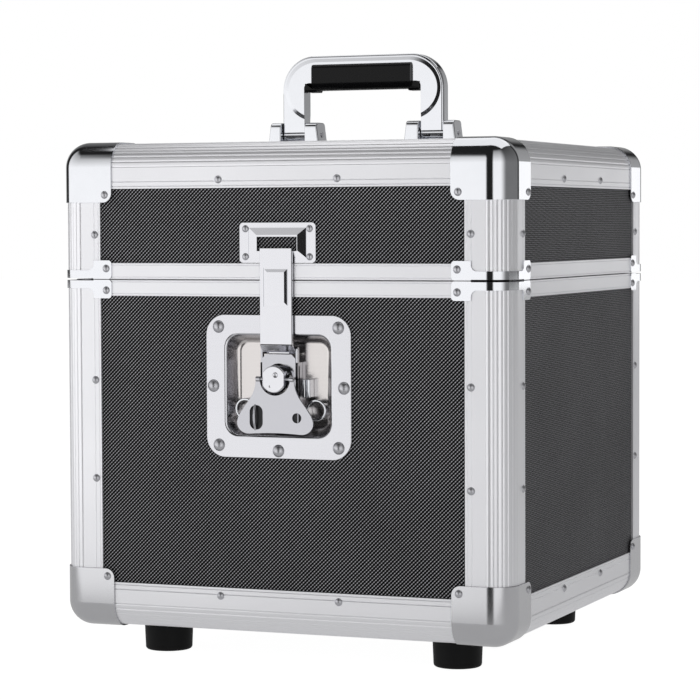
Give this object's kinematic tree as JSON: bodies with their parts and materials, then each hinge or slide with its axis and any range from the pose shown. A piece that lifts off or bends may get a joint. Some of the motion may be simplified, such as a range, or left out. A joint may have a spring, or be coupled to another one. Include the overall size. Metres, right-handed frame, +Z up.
{
  "type": "record carrying case",
  "caption": "Upright flight-style record case with aluminium edges, ball corners, a hinged lid, a recessed turn latch and a folding handle.",
  "frame": {"origin": "on the floor under the middle of the case, level with the feet's undersides", "axes": "+Z up, front with the latch looks along -Y, +X to the right as seen from the front"},
  "size_m": [0.366, 0.3674, 0.4624],
  "materials": {
    "laminate": "matt laminate with a fine woven pattern",
    "satin_aluminium": "satin anodised extrusion",
    "satin_caps": "satin nickel",
    "chrome": "polished",
    "pressed_steel": "bright zinc plate",
    "rivet_steel": "bright zinc plate",
    "rubber": "matt black",
    "grip_plastic": "semi-gloss moulded",
    "foam": "closed-cell foam with a felt face"
  },
  "bodies": {
    "base": {"base_front_panel": "laminate", "base_back_panel": "laminate", "base_left_panel": "laminate", "base_right_panel": "laminate", "base_front_edge": "satin_aluminium", "base_back_edge": "satin_aluminium", "base_left_edge": "satin_aluminium", "base_right_edge": "satin_aluminium", "base_front_left_post": "satin_aluminium", "base_front_right_post": "satin_aluminium", "base_back_left_post": "satin_aluminium", "base_back_right_post": "satin_aluminium", "base_rim": "satin_aluminium", "base_lining": "foam", "base_rivets": "rivet_steel", "base_split_braces": "chrome", "base_floor_panel": "laminate", "base_corner_caps": "satin_caps", "feet": "rubber", "foot_screws": "rivet_steel", "latch_dish": "pressed_steel", "dish_rivets": "rivet_steel", "latch_rest_tubes": "pressed_steel", "latch_stop_block": "pressed_steel", "hinge_base_leaves": "pressed_steel", "hinge_pins": "rivet_steel"},
    "lid": {"lid_front_panel": "laminate", "lid_back_panel": "laminate", "lid_left_panel": "laminate", "lid_right_panel": "laminate", "lid_front_edge": "satin_aluminium", "lid_back_edge": "satin_aluminium", "lid_left_edge": "satin_aluminium", "lid_right_edge": "satin_aluminium", "lid_front_left_post": "satin_aluminium", "lid_front_right_post": "satin_aluminium", "lid_back_left_post": "satin_aluminium", "lid_back_right_post": "satin_aluminium", "lid_rim": "satin_aluminium", "lid_lining": "foam", "lid_rivets": "rivet_steel", "lid_split_braces": "chrome", "lid_top_panel": "laminate", "lid_corner_caps": "chrome", "latch_keeper": "pressed_steel", "keeper_rivets": "rivet_steel", "handle_brackets": "chrome", "handle_pins": "rivet_steel", "bracket_screws": "rivet_steel", "hinge_lid_leaves": "pressed_steel"},
    "handle": {"handle_frame": "chrome", "handle_grip": "grip_plastic"},
    "rotor": {"latch_rotor": "pressed_steel", "wing_pin": "rivet_steel"},
    "wing": {"latch_wing": "pressed_steel"},
    "hook": {"hook_plate": "pressed_steel", "strap_pin": "rivet_steel"},
    "strap": {"latch_strap": "pressed_steel"}
  },
  "joints": [
    {"name": "lid_hinge", "type": "hinge", "parent": "base", "child": "lid", "pos_m": [0, 0.1795, 0.2877], "axis": [-1, 0, 0], "range_deg": [0, 100]},
    {"name": "handle_fold", "type": "hinge", "parent": "lid", "child": "handle", "pos_m": [0, 0, 0.3998], "axis": [1, 0, 0], "range_deg": [-85, 85]},
    {"name": "rotor_turn", "type": "hinge", "parent": "base", "child": "rotor", "pos_m": [0, -0.176, 0.215], "axis": [0, -1, 0], "range_deg": [0, 180]},
    {"name": "wing_flip", "type": "hinge", "parent": "rotor", "child": "wing", "pos_m": [0, -0.18125, 0.215], "axis": [-1, 0, 0], "range_deg": [0, 100]},
    {"name": "hook_lift", "type": "slide", "parent": "base", "child": "hook", "axis": [0, 0, 1], "range_m": [0, 0.0071]},
    {"name": "strap_swing", "type": "hinge", "parent": "hook", "child": "strap", "pos_m": [0, -0.172, 0.237], "axis": [1, 0, 0], "range_deg": [0, 62]}
  ],
  "couplings": [
    {"joint": "hook_lift", "follows": "rotor_turn", "m_per_rad": 0.0022282}
  ]
}
